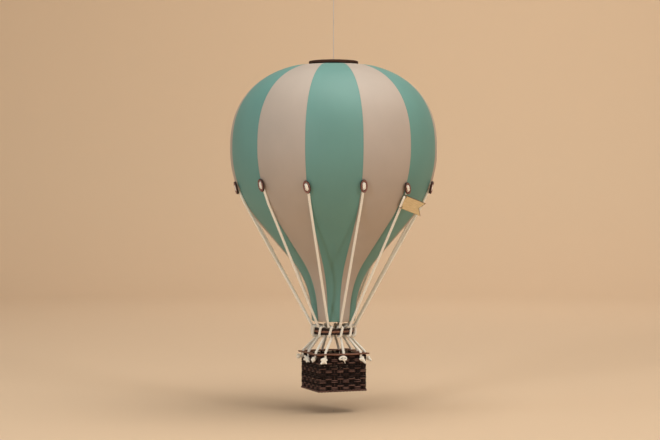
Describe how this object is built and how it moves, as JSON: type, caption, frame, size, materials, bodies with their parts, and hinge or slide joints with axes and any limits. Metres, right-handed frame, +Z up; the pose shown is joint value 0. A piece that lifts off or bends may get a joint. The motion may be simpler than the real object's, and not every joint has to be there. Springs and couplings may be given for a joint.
{
  "type": "hanging model hot air balloon",
  "caption": "Hanging model of a hot air balloon: striped hollow shell with a crown disc, rigging cords on toggles, load ring, square woven basket and a blank pennant.",
  "frame": {"origin": "top of the hanging loop on its inner side, where a hook or nail carries the balloon", "axes": "+Z up along the hanging line, -Y the front that faces the viewer, +X to its right; the basket's sides lie along X and Y"},
  "size_m": [0.1993, 0.1993, 0.3961],
  "materials": {
    "teal_shell": "smooth matte",
    "beige_shell": "smooth matte",
    "dark_wood": "dark stained, slight sheen",
    "toggle_wood": "reddish brown, waxed",
    "cotton_cord": "twisted cotton, matte",
    "ring_cane": "twined cane, dark stained",
    "wicker": "woven cane, dark stained",
    "pale_wood": "thin plywood, bare",
    "nylon_line": "thin translucent line"
  },
  "bodies": {
    "line": {"hanging_line": "nylon_line", "hanging_loop": "nylon_line"},
    "balloon": {"gore_01": "teal_shell", "gore_02": "beige_shell", "gore_03": "teal_shell", "gore_04": "beige_shell", "gore_05": "teal_shell", "gore_06": "beige_shell", "gore_07": "teal_shell", "gore_08": "beige_shell", "gore_09": "teal_shell", "gore_10": "beige_shell", "gore_11": "teal_shell", "gore_12": "beige_shell", "crown_disc": "dark_wood", "load_ring": "ring_cane", "toggle_01": "toggle_wood", "toggle_02": "toggle_wood", "toggle_03": "toggle_wood", "toggle_04": "toggle_wood", "toggle_05": "toggle_wood", "toggle_06": "toggle_wood", "toggle_07": "toggle_wood", "toggle_08": "toggle_wood", "toggle_09": "toggle_wood", "toggle_10": "toggle_wood", "toggle_11": "toggle_wood", "toggle_12": "toggle_wood", "cord_01": "cotton_cord", "cord_02": "cotton_cord", "cord_03": "cotton_cord", "cord_04": "cotton_cord", "cord_05": "cotton_cord", "cord_06": "cotton_cord", "cord_07": "cotton_cord", "cord_08": "cotton_cord", "cord_09": "cotton_cord", "cord_10": "cotton_cord", "cord_11": "cotton_cord", "cord_12": "cotton_cord", "cord_02_top": "cotton_cord", "basket_floor": "wicker", "basket_wall": "wicker", "basket_rim": "wicker"},
    "flag": {"flag": "pale_wood", "flag_lace": "cotton_cord"}
  },
  "joints": [
    {"name": "line_twist", "type": "hinge", "parent": "line", "child": "balloon", "pos_m": [0, 0, -0.078], "axis": [0, 0, 1], "continuous": true},
    {"name": "flag_swing", "type": "hinge", "parent": "balloon", "child": "flag", "pos_m": [0.03912, -0.08018, -0.21314], "axis": [-0.2147, 0.4408, -0.8716], "range_deg": [-60, 25]}
  ]
}
